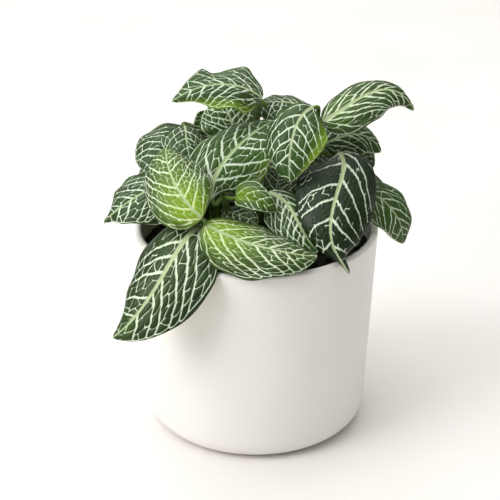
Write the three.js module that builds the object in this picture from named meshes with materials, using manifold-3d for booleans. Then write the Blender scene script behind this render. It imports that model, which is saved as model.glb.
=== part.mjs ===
// A nerve plant in a plain white pot: the pot, its soil, and eleven leafy stems.
// Millimetres, +Z up. The origin is the middle of the pot's flat underside, the front is -Y.

import * as THREE from 'three';
import { mergeVertices } from 'three/addons/utils/BufferGeometryUtils.js';
import Module from 'manifold-3d';

const wasm = await Module();
wasm.setup();

// Driving dimensions of the pot
const RIM_RADIUS = 65;
const POT_HEIGHT = 112;
const FOOT_RADIUS = 59.5;
const FOOT_ROUNDING = 12;
const WALL = 4;
const FLOOR = 6;
const POT_SEGMENTS = 42;
const ARC_STEPS = 4;

// Soil and the holes that the stems stand in
const SOIL_LEVEL = 99;
const SOIL_BUMP = 0.55;
const SOIL_WAVES = [0.21, 0.17, 0.11];
const SOIL_RINGS = 4;
const HOLE_FLOOR = 84;
const STRAIGHT_BELOW = 4;
const STRAIGHT_ABOVE = 3;
const GAP = 0.3;

// Stems, leaf stalks and blades
const STEM_RADIUS = 2.1;
const STALK_RADIUS = 1.3;
const TUBE_SIDES = 8;
const STALK_SIDES = 6;
const STEM_STEPS = 7;
const STALK_STEPS = 3;
const STALK_SINK = 0.75;
const STALK_REACH = 0.4;
const STALK_UNDER_BLADE = 0.12;
const BLADE_THICKNESS = 0.8;
const BLADE_END_WIDTH = 1;
const ROW_SPACING = 7.5;
const BLADE_ROWS = [5, 9];
const BLADE_COLUMNS = 6;
const NARROW_BLADE = 21;
const NARROW_COLUMNS = 4;
const RIPPLE = 0.03;
const RIPPLES_ALONG = 3;
const RIPPLE_OFFSET = 1.3;
const BLADE_OUTLINE = [0.5, 0.8];
const HALF_SLOPES = [12, -35];

const COLOURS = {
  pot: 0xf4f3f1,
  soil: 0x1c1613,
  leaf: 0x35502c,
  limeLeaf: 0x6d8f2f,
};

// Each stem stands straight in the soil at its foot [x, y], bends at two points and ends at its top.
const STEMS = {
  front_left: { foot: [-18, -27], bend: [-22, -36, 122], top: [-26, -43, 132] },
  left: { foot: [-27, -3], bend: [-31, -4, 130], top: [-36, -4, 148] },
  upper_left: { foot: [-20, 20], bend: [-22, 22, 135], top: [-27, 22, 156] },
  centre: { foot: [-10, -16], bend: [-13, -20, 122], top: [-17, -24, 138] },
  top: { foot: [0, 8], bend: [-3, 12, 140], top: [1, 7, 176] },
  upper_right: { foot: [22, 10], bend: [26, 9, 140], top: [32, 4, 170] },
  right: { foot: [34, -4], bend: [37, 2, 130], top: [41, 3, 149] },
  front: { foot: [10, -24], bend: [8, -22, 120], top: [4, -21, 134] },
  back_left: { foot: [-24, 34], bend: [-27, 36, 124], top: [-30, 38, 138] },
  back: { foot: [2, 32], bend: [2, 34, 128], top: [2, 36, 150] },
  back_right: { foot: [28, 30], bend: [32, 30, 124], top: [38, 30, 138] },
};

// Each leaf: how far up its stem the stalk leaves (from), four points along the midrib from the
// blade's base to its tip, the width, and the azimuth and elevation that its upper face looks to.
// left and right are the slopes of that half beside the midrib and at its margin, in degrees.
// outline holds the powers that round the base and draw out the tip. twist turns the blade about
// its midrib from base to tip, in degrees.
const LEAVES = {
  front_left: [
    { from: 0.97, midrib: [[-27, -43, 129], [-39, -54, 121], [-52.5, -67, 102], [-71.5, -69.5, 80.5]],
      width: 50, face: [-97, 38], left: [13, -12], right: [-12, -66], outline: [0.57, 0.88] },
    { from: 1, midrib: [[-26, -46, 132], [-8, -53, 126], [12, -59, 123], [30, -60, 123]],
      width: 38, face: [-92, 60], left: [0, -50], right: [8, -40], outline: [0.48, 0.8] },
    { from: 1, midrib: [[-27, -48, 136], [-36, -43, 144.5], [-43, -31, 153], [-46, -14, 160]],
      width: 37, face: [-105, 50], left: [5, -45], right: [8, -45], outline: [0.42, 0.6] },
  ],
  left: [
    { from: 1, midrib: [[-42, -14, 143], [-55, -20, 139], [-67, -27, 134], [-79, -29, 124]],
      width: 38, face: [-130, 52], left: [10, -40], right: [10, -30] },
    { from: 0.7, midrib: [[-40, -21, 135], [-46, -26, 134], [-51, -31, 131], [-55, -35, 127]],
      width: 23, face: [-110, 50] },
    { from: 0.7, midrib: [[-36, 4, 134], [-48, 8, 134], [-60, 10, 128], [-70, 8, 117]],
      width: 28, face: [170, 60] },
  ],
  upper_left: [
    { from: 0.85, midrib: [[-30, 17, 149], [-40, 13, 152], [-50, 7, 150], [-57, 1, 141]],
      width: 38, face: [-115, 50], left: [0, -45], right: [10, -30], outline: [0.45, 0.5] },
    { from: 1, midrib: [[-38, 19, 160], [-37, 11, 158], [-36, 3, 154], [-34, -4, 149]],
      width: 28, face: [-90, 70], left: [0, -60], outline: [0.5, 0.7] },
    { from: 0.85, midrib: [[-22, 19, 154], [-25, 21, 158], [-28, 23, 162], [-31, 23, 166]],
      width: 18, face: [-90, 40] },
    { from: 0.55, midrib: [[-29, 23, 128], [-40, 25, 128], [-51, 27, 122], [-59, 29, 111]],
      width: 26, face: [170, 55] },
  ],
  centre: [
    { from: 1, midrib: [[-22, -30, 139], [-20, -23, 150], [-8, -11, 161], [9, -1, 170]],
      width: 44, face: [-88, 45], left: [5, -40], right: [8, -35], outline: [0.4, 0.6],
      twist: -50 },
    { from: 1, midrib: [[-10, -30, 140], [-3, -34, 141], [4, -38, 139], [11, -40, 136]],
      width: 18, face: [-90, 50], left: [10, -60], right: [10, -20] },
    { from: 0.8, midrib: [[-16, -22, 129], [-11, -25, 128], [-5, -28, 127], [0, -32, 125]],
      width: 18, face: [-90, 60] },
  ],
  top: [
    { from: 0.5, midrib: [[-11, 9, 154], [-12, 13, 161], [-15, 18, 168], [-19, 26, 174]],
      width: 34, face: [-90, 40], left: [10, -20], right: [10, -20], outline: [0.8, 0.8] },
    { from: 1, midrib: [[3, 0, 183], [-10, -2, 192], [-26, -5, 193], [-43, -10, 186]],
      width: 38, face: [-97, 72], left: [5, -55], right: [10, -30], outline: [0.35, 1.05],
      ripple: 0.08, ripples: 2, phase: -2.5 },
    { from: 0.7, midrib: [[0, 18, 166], [4, 30, 167], [10, 43, 161], [16, 54, 150]],
      width: 30, face: [75, 70] },
  ],
  upper_right: [
    { from: 0.95, midrib: [[31, 24, 166], [21, 20, 172], [10, 17, 174], [1, 15, 174]],
      width: 30, face: [-60, 70], left: [0, -50], right: [0, -50] },
    { from: 1, midrib: [[29, -3, 178], [21, -14, 174], [17, -24, 163], [17, -30, 148]],
      width: 36, face: [-92, 40], left: [10, -30], right: [5, -75], outline: [0.5, 0.75] },
    { from: 1, midrib: [[34, -3, 171], [48, -1, 179], [64, 1, 186], [81, 2, 175]],
      width: 30, face: [-70, 55], left: [15, -80], right: [12, -50], outline: [0.32, 0.6] },
  ],
  right: [
    { from: 1, midrib: [[35, 6, 154], [45, 8, 158], [56, 10, 158], [66, 10, 150]],
      width: 30, face: [-80, 50], left: [0, -45] },
    { from: 1, midrib: [[43, -2, 153], [43, -23, 146], [37, -44, 132], [44, -56, 110]],
      width: 47, face: [-85, 35], left: [12, -50], right: [8, -45], outline: [0.4, 1] },
    { from: 0.7, midrib: [[55, -2, 131], [64, -5, 129], [73, -9, 121], [80, -12, 105]],
      width: 26, face: [-65, 45], outline: [0.5, 0.75] },
    { from: 0.95, midrib: [[44, 12, 148], [50, 13, 146], [56, 12, 144], [62, 9, 140]],
      width: 26, face: [-80, 60] },
  ],
  front: [
    { from: 1, midrib: [[6, -22, 139], [16, -32, 136], [22, -41, 128], [31, -47, 117]],
      width: 31, face: [-75, 55], left: [-5, -60], right: [-5, -60], outline: [0.45, 0.85] },
    { from: 0.95, midrib: [[8, -18, 132], [11, -8, 138], [12, 3, 140], [12, 13, 137]],
      width: 24, face: [-75, 60] },
  ],
  back_left: [
    { from: 0.95, midrib: [[-31, 44, 133], [-38, 58, 126], [-44, 71, 113], [-48, 78, 95]],
      width: 38, face: [115, 45] },
    { from: 1, midrib: [[-34, 34, 142], [-46, 34, 142], [-57, 37, 134], [-65, 40, 120]],
      width: 32, face: [160, 55] },
    { from: 1, midrib: [[-27, 42, 140], [-25, 54, 140], [-22, 66, 134], [-18, 76, 123]],
      width: 30, face: [95, 60] },
  ],
  back: [
    { from: 0.97, midrib: [[4, 40, 147], [8, 54, 147], [13, 68, 140], [18, 80, 127]],
      width: 36, face: [80, 55] },
    { from: 1, midrib: [[-3, 40, 148], [-14, 40, 154], [-26, 42, 152], [-36, 44, 144]],
      width: 30, face: [120, 65] },
    { from: 1, midrib: [[10, 36, 150], [22, 34, 156], [34, 36, 155], [45, 42, 146]],
      width: 30, face: [80, 65] },
    { from: 0.65, midrib: [[-2, 40, 130], [-3, 52, 128], [-3, 64, 120], [-4, 73, 107]],
      width: 34, face: [95, 50] },
  ],
  back_right: [
    { from: 0.95, midrib: [[40, 38, 131], [50, 47, 129], [58, 58, 119], [63, 67, 103]],
      width: 36, face: [50, 50] },
    { from: 1, midrib: [[44, 26, 138], [54, 23, 138], [65, 23, 129], [73, 25, 113]],
      width: 30, face: [20, 55] },
    { from: 1, midrib: [[36, 25, 143], [34, 20, 143], [33, 14, 141], [32, 9, 136]],
      width: 20, face: [-80, 60] },
    { from: 1, midrib: [[34, 38, 136], [33, 50, 137], [34, 63, 131], [36, 75, 119]],
      width: 30, face: [80, 60] },
  ],
};

// The lime-coloured young growth is on this stem.
const LIME_STEM = 'front_left';

const radians = THREE.MathUtils.degToRad;
const vector = (point) => new THREE.Vector3(...point);

// A closed geometry becomes a solid, and a solid a geometry.
function solidOf(geometry) {
  geometry.deleteAttribute('normal');
  geometry.deleteAttribute('uv');
  const merged = mergeVertices(geometry, 1e-4);
  const mesh = new wasm.Mesh({
    numProp: 3,
    vertProperties: new Float32Array(merged.attributes.position.array),
    triVerts: new Uint32Array(merged.index.array),
  });
  return new wasm.Manifold(mesh);
}

function geometryOf(solid) {
  const mesh = solid.getMesh();
  const geometry = new THREE.BufferGeometry();
  geometry.setAttribute('position', new THREE.BufferAttribute(new Float32Array(mesh.vertProperties), 3));
  geometry.setIndex(new THREE.BufferAttribute(new Uint32Array(mesh.triVerts), 1));
  geometry.computeVertexNormals();
  return geometry;
}

function namedMesh(name, solid, color, roughness) {
  const material = new THREE.MeshStandardMaterial({ color, roughness, metalness: 0 });
  const mesh = new THREE.Mesh(geometryOf(solid), material);
  mesh.name = name;
  return mesh;
}

// Points on an arc in the lathe's plane, angles in degrees, both ends included.
function arc(cx, cz, radius, start, end) {
  const points = [];
  for (let i = 0; i <= ARC_STEPS; i += 1) {
    const angle = radians(start + ((end - start) * i) / ARC_STEPS);
    points.push(new THREE.Vector2(cx + radius * Math.cos(angle), cz + radius * Math.sin(angle)));
  }
  return points;
}

// LatheGeometry turns about +Y, so its result is stood up along +Z.
function lathe(profile, segments) {
  const geometry = new THREE.LatheGeometry(profile, segments);
  geometry.rotateX(Math.PI / 2);
  return geometry;
}

// The wall leans out from the foot to the rim.
const WALL_LEAN = (RIM_RADIUS - FOOT_RADIUS) / POT_HEIGHT;
const outerRadius = (z) => FOOT_RADIUS + WALL_LEAN * z;
const innerRadius = (z) => outerRadius(z) - WALL;
const innerRounding = FOOT_ROUNDING - WALL;

function makePot() {
  const lip = WALL / 2;
  const lipHeight = POT_HEIGHT - lip;
  const lipMiddle = outerRadius(lipHeight) - lip;
  const profile = [
    new THREE.Vector2(0, 0),
    ...arc(FOOT_RADIUS - FOOT_ROUNDING, FOOT_ROUNDING, FOOT_ROUNDING, -90, 0),
    ...arc(lipMiddle, lipHeight, lip, 0, 180),
    ...arc(innerRadius(FLOOR) - innerRounding, FLOOR + innerRounding, innerRounding, 0, -90),
    new THREE.Vector2(0, FLOOR),
  ];
  return solidOf(lathe(profile, POT_SEGMENTS));
}

// A gently uneven soil surface
function soilHeight(x, y) {
  const [across, along, slanting] = SOIL_WAVES;
  const bumps = Math.cos(x * across) * Math.cos(y * along) + Math.sin((x + y) * slanting);
  return SOIL_LEVEL + SOIL_BUMP * bumps;
}

function soilPlug() {
  const middle = innerRadius(FLOOR) - innerRounding;
  const profile = [
    new THREE.Vector2(0, FLOOR + GAP),
    ...arc(middle, FLOOR + innerRounding, innerRounding - GAP, -90, 0),
  ];
  for (let ring = SOIL_RINGS; ring >= 0; ring -= 1) {
    profile.push(new THREE.Vector2(((innerRadius(SOIL_LEVEL) - GAP) * ring) / SOIL_RINGS, SOIL_LEVEL));
  }
  const geometry = lathe(profile, POT_SEGMENTS);
  const position = geometry.attributes.position;
  for (let i = 0; i < position.count; i += 1) {
    if (position.getZ(i) > SOIL_LEVEL - 0.01) {
      position.setZ(i, soilHeight(position.getX(i), position.getY(i)));
    }
  }
  return solidOf(geometry);
}

// A round tube along a curve
function tube(curve, radius, sides, steps) {
  const ring = [];
  for (let i = 0; i < sides; i += 1) {
    const angle = (2 * Math.PI * i) / sides;
    ring.push(new THREE.Vector2(radius * Math.cos(angle), radius * Math.sin(angle)));
  }
  const geometry = new THREE.ExtrudeGeometry(new THREE.Shape(ring), { steps, extrudePath: curve });
  return solidOf(geometry);
}

function stemHole(stem) {
  const points = [vector([...stem.foot, HOLE_FLOOR]), vector([...stem.foot, SOIL_LEVEL + STRAIGHT_BELOW])];
  const radius = (STEM_RADIUS + GAP) / Math.cos(Math.PI / TUBE_SIDES);
  return tube(new THREE.LineCurve3(...points), radius, TUBE_SIDES, 1);
}

function makeSoil() {
  return Object.values(STEMS).reduce((soil, stem) => soil.subtract(stemHole(stem)), soilPlug());
}

function stemCurve(stem) {
  return new THREE.CatmullRomCurve3([
    vector([...stem.foot, HOLE_FLOOR + GAP]),
    vector([...stem.foot, SOIL_LEVEL - STRAIGHT_BELOW]),
    vector([...stem.foot, SOIL_LEVEL + STRAIGHT_ABOVE]),
    vector(stem.bend),
    vector(stem.top),
  ]);
}

// The cubic curve that passes through four evenly spaced points
function midribCurve(leaf) {
  const [p0, p1, p2, p3] = leaf.midrib.map(vector);
  const blend = (a, b, c, d) => p0.clone().multiplyScalar(a / 6)
    .addScaledVector(p1, b / 6)
    .addScaledVector(p2, c / 6)
    .addScaledVector(p3, d / 6);
  return new THREE.CubicBezierCurve3(p0, blend(-5, 18, -9, 2), blend(2, -9, 18, -5), p3);
}

// Half the blade's width along its length, as a share of the widest
function outlineAt(s, [base, tip]) {
  const widest = base / (base + tip);
  const peak = widest ** base * (1 - widest) ** tip;
  return (s ** base * (1 - s) ** tip) / peak;
}

// The direction that an azimuth and an elevation give
function direction([azimuth, elevation]) {
  const [a, e] = [radians(azimuth), radians(elevation)];
  return new THREE.Vector3(Math.cos(e) * Math.cos(a), Math.cos(e) * Math.sin(a), Math.sin(e));
}

// A half blade leaves the midrib at one slope and bends evenly to another at its margin.
// Returns how far out and up the point at share t of its width lies, and the slope there.
function halfSection([inner, outer], t) {
  const start = radians(inner);
  const turn = radians(outer - inner);
  const slope = start + turn * t;
  if (Math.abs(turn) < 1e-3) return { out: t * Math.cos(start), up: t * Math.sin(start), slope };
  return {
    out: (Math.sin(slope) - Math.sin(start)) / turn,
    up: (Math.cos(start) - Math.cos(slope)) / turn,
    slope,
  };
}

// The point of the blade at share s of its length and t (-1 left to 1 right) of its half width,
// and the blade's normal there
function bladePoint(leaf, curve, s, t) {
  const tangent = curve.getTangentAt(s);
  const face = direction(leaf.face).applyAxisAngle(tangent, radians(leaf.twist ?? 0) * (s - 0.5));
  const side = tangent.clone().cross(face).normalize();
  const up = side.clone().cross(tangent);
  const sign = Math.sign(t);
  const share = Math.abs(t);
  const slopes = (t < 0 ? leaf.left : leaf.right) ?? HALF_SLOPES;
  const section = halfSection(slopes, share);
  const outline = outlineAt(s, leaf.outline ?? BLADE_OUTLINE);
  const half = Math.max((leaf.width / 2) * outline, BLADE_END_WIDTH / 2);
  const turns = 2 * Math.PI * (leaf.ripples ?? RIPPLES_ALONG) * s;
  const wave = Math.sin(turns + (leaf.phase ?? 0) + (t > 0 ? RIPPLE_OFFSET : 0));
  const ripple = (leaf.ripple ?? RIPPLE) * leaf.width * share ** 2 * wave * Math.sin(Math.PI * s);
  const point = curve.getPointAt(s)
    .addScaledVector(side, sign * section.out * half)
    .addScaledVector(up, section.up * half + ripple);
  const normal = up.multiplyScalar(Math.cos(section.slope))
    .addScaledVector(side, -sign * Math.sin(section.slope));
  return { point, normal };
}

// Both faces are split into triangles alike, and a rim joins them.
function bladeSolid(leaf) {
  const curve = midribCurve(leaf);
  const rows = THREE.MathUtils.clamp(Math.round(curve.getLength() / ROW_SPACING), ...BLADE_ROWS);
  const columns = leaf.width < NARROW_BLADE ? NARROW_COLUMNS : BLADE_COLUMNS;
  const faces = [[], []];
  for (let row = 0; row <= rows; row += 1) {
    const s = 0.5 - 0.5 * Math.cos((Math.PI * row) / rows);
    for (let column = 0; column <= columns; column += 1) {
      const { point, normal } = bladePoint(leaf, curve, s, (2 * column) / columns - 1);
      faces[0].push(point.clone().addScaledVector(normal, BLADE_THICKNESS / 2));
      faces[1].push(point.clone().addScaledVector(normal, -BLADE_THICKNESS / 2));
    }
  }
  const stride = columns + 1;
  const lower = faces[0].length;
  const index = [];
  const quad = (a, b, c, d) => index.push(a, b, c, a, c, d);
  for (let row = 0; row < rows; row += 1) {
    for (let column = 0; column < columns; column += 1) {
      const a = row * stride + column;
      const [b, c, d] = [a + 1, a + stride + 1, a + stride];
      index.push(a, b, c, a, c, d);
      index.push(lower + a, lower + c, lower + b, lower + a, lower + d, lower + c);
    }
    const left = row * stride;
    const right = left + columns;
    quad(left, left + stride, lower + left + stride, lower + left);
    quad(right, lower + right, lower + right + stride, right + stride);
  }
  const last = rows * stride;
  for (let column = 0; column < columns; column += 1) {
    quad(column, lower + column, lower + column + 1, column + 1);
    quad(last + column, last + column + 1, lower + last + column + 1, lower + last + column);
  }
  const geometry = new THREE.BufferGeometry();
  const positions = faces.flat().flatMap((point) => point.toArray());
  geometry.setAttribute('position', new THREE.Float32BufferAttribute(positions, 3));
  geometry.setIndex(index);
  return solidOf(geometry);
}

// The stalk leaves the stem, turns into the midrib's line and ends sunk under the blade.
function stalkSolid(leaf, stem) {
  const midrib = midribCurve(leaf);
  const start = stem.getPoint(leaf.from);
  const base = bladePoint(leaf, midrib, 0, 0);
  const end = bladePoint(leaf, midrib, STALK_UNDER_BLADE, 0);
  const under = STALK_RADIUS * STALK_SINK;
  const reach = start.distanceTo(base.point) * STALK_REACH;
  const curve = new THREE.CatmullRomCurve3([
    start,
    base.point.clone().addScaledVector(midrib.getTangentAt(0), -reach).addScaledVector(base.normal, -under),
    base.point.clone().addScaledVector(base.normal, -under),
    end.point.clone().addScaledVector(end.normal, -under),
  ], false, 'chordal');
  return tube(curve, STALK_RADIUS, STALK_SIDES, STALK_STEPS);
}

// Two blades of a stem can close a small pocket between them, whose inward-facing surface is left
// out, so that the pocket is filled.
function makeLeafyStem(name) {
  const curve = stemCurve(STEMS[name]);
  const stem = tube(curve, STEM_RADIUS, TUBE_SIDES, STEM_STEPS);
  const whole = LEAVES[name].reduce(
    (grown, leaf) => grown.add(stalkSolid(leaf, curve)).add(bladeSolid(leaf)),
    stem,
  );
  return whole.decompose().find((body) => body.volume() > 0);
}

const plant = new THREE.Group();
plant.add(namedMesh('pot', makePot(), COLOURS.pot, 0.45));
plant.add(namedMesh('soil', makeSoil(), COLOURS.soil, 0.95));
for (const name of Object.keys(STEMS)) {
  const color = name === LIME_STEM ? COLOURS.limeLeaf : COLOURS.leaf;
  plant.add(namedMesh(`stem_${name}`, makeLeafyStem(name), color, 0.5));
}

export default plant;
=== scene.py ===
# A nerve plant in a plain white pot: a smooth glazed pot, crumbly soil and leafy stems whose
# blades carry a sunken net of pale veins. Lengths are in millimetres where no heading says
# otherwise, angles in degrees. Finished pieces are in metres.

import math
import random

import bmesh
import bpy
import numpy as np
from mathutils import Matrix, Vector, noise


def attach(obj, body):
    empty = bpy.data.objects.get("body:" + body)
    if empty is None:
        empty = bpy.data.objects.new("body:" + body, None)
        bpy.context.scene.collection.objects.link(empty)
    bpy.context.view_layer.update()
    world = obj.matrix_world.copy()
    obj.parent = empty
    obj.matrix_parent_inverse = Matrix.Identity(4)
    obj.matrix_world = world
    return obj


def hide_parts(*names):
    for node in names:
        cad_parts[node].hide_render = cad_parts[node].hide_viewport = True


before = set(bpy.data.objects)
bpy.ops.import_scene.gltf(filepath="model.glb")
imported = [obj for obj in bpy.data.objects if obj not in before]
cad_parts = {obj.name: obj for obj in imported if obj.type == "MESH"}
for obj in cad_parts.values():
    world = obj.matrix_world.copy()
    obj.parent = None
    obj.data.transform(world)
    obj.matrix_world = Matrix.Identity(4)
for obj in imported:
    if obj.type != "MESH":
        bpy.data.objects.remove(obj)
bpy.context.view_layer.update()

MM = 0.001
SEED = 7
SEED_STEP = 31
TINY = 1e-9
SMALL = 1e-6
LEAST_CHORD = 1e-4

# Corners and vertices are one where their places times these numbers round to the same
CORNER_MATCH = 1e5
VERTEX_MATCH = 1e3

# Camera, in metres
CAMERA_PLACE = (-0.00315, -0.7069, 0.4259)
CAMERA_TARGET = (-0.003146, 0, 0.09628)
CAMERA_LENS = 104.6
SENSOR = 36

# Light and floor, in metres and watts
WORLD_COLOUR = (255, 252, 249)
WORLD_LIGHT = 0.3
LIGHT_TARGET = (0, 0, 0.12)
LIGHTS = {
    "window_light": {"place": (-1.15, -0.6, 1.0), "size": (1.0, 1.0), "power": 15},
    "overhead_light": {"place": (-0.3, -0.05, 1.5), "size": (2.0, 1.9), "power": 21},
    "backdrop_light": {
        "place": (0, 1.3, 1.2), "size": (2.4, 1.0), "power": 12, "target": (0, 1.0, 0),
    },
}
FLOOR_SIZE = 12

# Pot
RIM_RADIUS = 65
POT_HEIGHT = 112
FOOT_RADIUS = 59.5
FOOT_ROUNDING = 12
INNER_ROUNDING = 8
WALL = 4
FLOOR = 6
POT_SEGMENTS = 192
ARC_STEPS = 10
WALL_STEPS = 12

# Soil
SOIL_LEVEL = 99
SOIL_BUMP = 0.55
SOIL_WAVES = (0.21, 0.17, 0.11)
SOIL_LUMPS = 1.3
LUMP_SCALE = 0.11
LUMP_PLACE = 1.7
LUMP_NOISE = (0.6, 2.2, 5)
SOIL_EDGE = 3
SOIL_BELOW_HOLES = 6
SOIL_RINGS = 60
SOIL_SEGMENTS = 180
SOIL_GAP = 0.3
CRUMBS = 800
CRUMB_SIZE = (0.5, 2.1)
CRUMB_STRETCH = ((0.7, 1.3), (0.7, 1.2), (0.5, 0.9))
CRUMB_LUMPS = 0.45
CRUMB_LUMP_SCALE = 1.6
CRUMB_RISE = (-0.1, 0.4)
CRUMB_SIZE_POWER = 3
CRUMB_INSET = 1.5
NOISE_ROOM = 99
FINE_CRUMB = 1

# Stems and stalks
HOLE_FLOOR = 84.3
STRAIGHT_BELOW = 4
STRAIGHT_ABOVE = 3
STEM_RADIUS = (2.1, 1.6)
STALK_RADIUS = (1.3, 0.9)
STALK_SINK = 0.975
STALK_REACH = 0.4
STALK_UNDER_BLADE = 0.12
STEM_SIDES = 14
STALK_SIDES = 10
STEM_STEPS = 25
STALK_STEPS = 15
TUBE_DOMES = (0.3, 0.6)
TUBE_SEAM = (0.31, 0.87, 0.2)

# Blades. TAIL, TIP_START and TIP_FOLDED are shares of the blade's length.
BLADE_THICKNESS = 0.8
RIPPLE = 0.03
RIPPLES_ALONG = 3
RIPPLE_OFFSET = 1.3
BLADE_OUTLINE = (0.5, 0.8)
HALF_SLOPES = (12, -35)
TAIL = (0.76, 0.9)
TIP_START = 0.55
TIP_FOLDED = 0.8
BUMP_LENGTH = 0.07
MIDRIB_STEPS = 201

# Courses of the side veins. A fan of them starts at the blade's base, at places below 0.
VEIN_COURSE = (1.7, 0.23)
VEIN_DRIFT = 0.15
FAN_SPREAD = 1.3
FAN_END = -0.98
FAN_JITTER = (0.85, 1.05)
PAIR_JITTER = 0.2
LAST_PAIR = 0.9
LOOP = 0.9
SCALLOP = 0.045
LOOP_SLIP = 0.15
VEIN_SWAY = 0.5
SWAY_FREE = (6, 4)
SWAY_WAVES = ((0.5, 0.37), (-0.41, 0.43))
COURSES = 241
HALVINGS = 30

# Veins and the cells between them. A midrib or side vein has a half width at its base and one
# at its end, for a blade of NET_LENGTH, and a power by which it tapers.
NET_LENGTH = 65
MIDRIB_VEIN = (1.05, 0.2, 1.6)
SIDE_VEIN = (0.68, 0.16, 0.8)
NET_VEIN = 0.13
LOOP_VEIN = 0.13
MIDRIB_EDGE = 0.6
NET_STRENGTH = (0.45, 1.05)
SPUR = 2.6
MIDRIB_SPUR = 0.3
VEIN_DEPTH = 0.14
VEIN_BLUR = 0.24
VEIN_BED = 0.85
VEIN_SIDE_DEPTH = 0.9
LEAST_FACING = 0.55
VEIN_LIMITS = (0.42, 0.66)
PILLOW = 0.42
PILLOW_REACH = 1.7
PILLOW_RISE = (0.04, 0.45, 0.88)
SHOULDER = 0.45
OPEN_RISE = 0.5
UNDER_HOLLOW = 0.5
BAND_LIMITS = (0.3, 0.55)
BAND_SWELL = 0.3
BAND_DEPTH = 0.8
LEAST_BAND = 0.05
MARGIN_RISE = 0.14
CELL_SHADE = 0.1

# How closely the net is laid out, in millimetres, points and shares
LATTICE = 0.95
CELL_STEP = 0.85
LEAST_RUNGS = 10
LEAST_STEPS = 5
STEPS_PER_WIDTH = 0.7
FAN_POINTS = 9
LEAST_FAN_RUNGS = 3
STRIP_POINTS = 41
LEAST_GAP = 0.25
SEED_ROOM = (0.1, 0.9)
CANDIDATES = 9
NUDGE = 0.01

# Where a leaf's lime colour lies: along the blade, out from the midrib, and at a margin
LIME_LENGTH = 0.7
LIME_FADE = 0.7
LIME_CORE = 0.15
EDGE_BAND = (0.45, 0.95)

# How patches lie in the texture map
PATCH_ROOM = 4
PATCH_MARGIN = 0.006
PATCH_GROWTH = 1.03
UNDER_SPREAD = 0.7
CRUMB_SPREAD = 0.6

# Each stem stands straight in the soil at its foot, bends at one point and ends at its top.
STEMS = {
    "front_left": ((-18, -27), (-22, -36, 122), (-26, -43, 132)),
    "left": ((-27, -3), (-31, -4, 130), (-36, -4, 148)),
    "upper_left": ((-20, 20), (-22, 22, 135), (-27, 22, 156)),
    "centre": ((-10, -16), (-13, -20, 122), (-17, -24, 138)),
    "top": ((0, 8), (-3, 12, 140), (1, 7, 176)),
    "upper_right": ((22, 10), (26, 9, 140), (32, 4, 170)),
    "right": ((34, -4), (37, 2, 130), (41, 3, 149)),
    "front": ((10, -24), (8, -22, 120), (4, -21, 134)),
    "back_left": ((-24, 34), (-27, 36, 124), (-30, 38, 138)),
    "back": ((2, 32), (2, 34, 128), (2, 36, 150)),
    "back_right": ((28, 30), (32, 30, 124), (38, 30, 138)),
}


def leaf(start, midrib, width, face, **look):
    """One leaf: where its stalk leaves the stem, its midrib, width and the way it faces.

    left and right are the slopes of a half at the midrib and at the margin, outline the powers
    that round the base and draw out the tip, and tail how much the blade narrows before it.
    left_half and right_half give a half its own width and outline. tip_fold turns the margins
    near the tip, hook moves the tip sideways and up, twist turns the blade about its midrib,
    and bumps lift a margin at a place along the blade, on the left (-1) or the right (1). rib,
    net and loop are the strength of the midrib, the finest veins and the loops at the margin,
    and open is the share of cell edges without a vein. tone sets how bright the green is: partly
    the leaf's own colour and partly painted light and shade, lighter for a leaf that catches
    sheen and darker for one in shade. The rest sets the side veins, the size of the cells and
    the colour.
    """
    whole = {
        "start": start, "midrib": midrib, "width": width, "face": face,
        "left": HALF_SLOPES, "right": HALF_SLOPES, "outline": BLADE_OUTLINE, "twist": 0,
        "ripple": RIPPLE, "ripples": RIPPLES_ALONG, "phase": 0,
        "pairs": 6, "fan": 2, "cell": 4.0, "open": 0.12, "vein": 1.0,
        "lime": 0.0, "lime_tip": 0.0, "edge": (0.0, 0.0), "tone": 0.5, "loop": 1.0,
        "left_veins": VEIN_COURSE, "right_veins": VEIN_COURSE,
        "tip_fold": (0, 0), "hook": (0, 0), "bumps": (), "tail": 0.0, "rib": 1.0, "net": 1.0,
    }
    whole.update(look)
    for side in ("left_half", "right_half"):
        whole.setdefault(side, (whole["width"] / 2, *whole["outline"]))
    return whole


# Each leaf's tone is partly painted light and shade: leaves that catch sheen are set lighter and
# leaves that lie in the shade of others darker.
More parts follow.
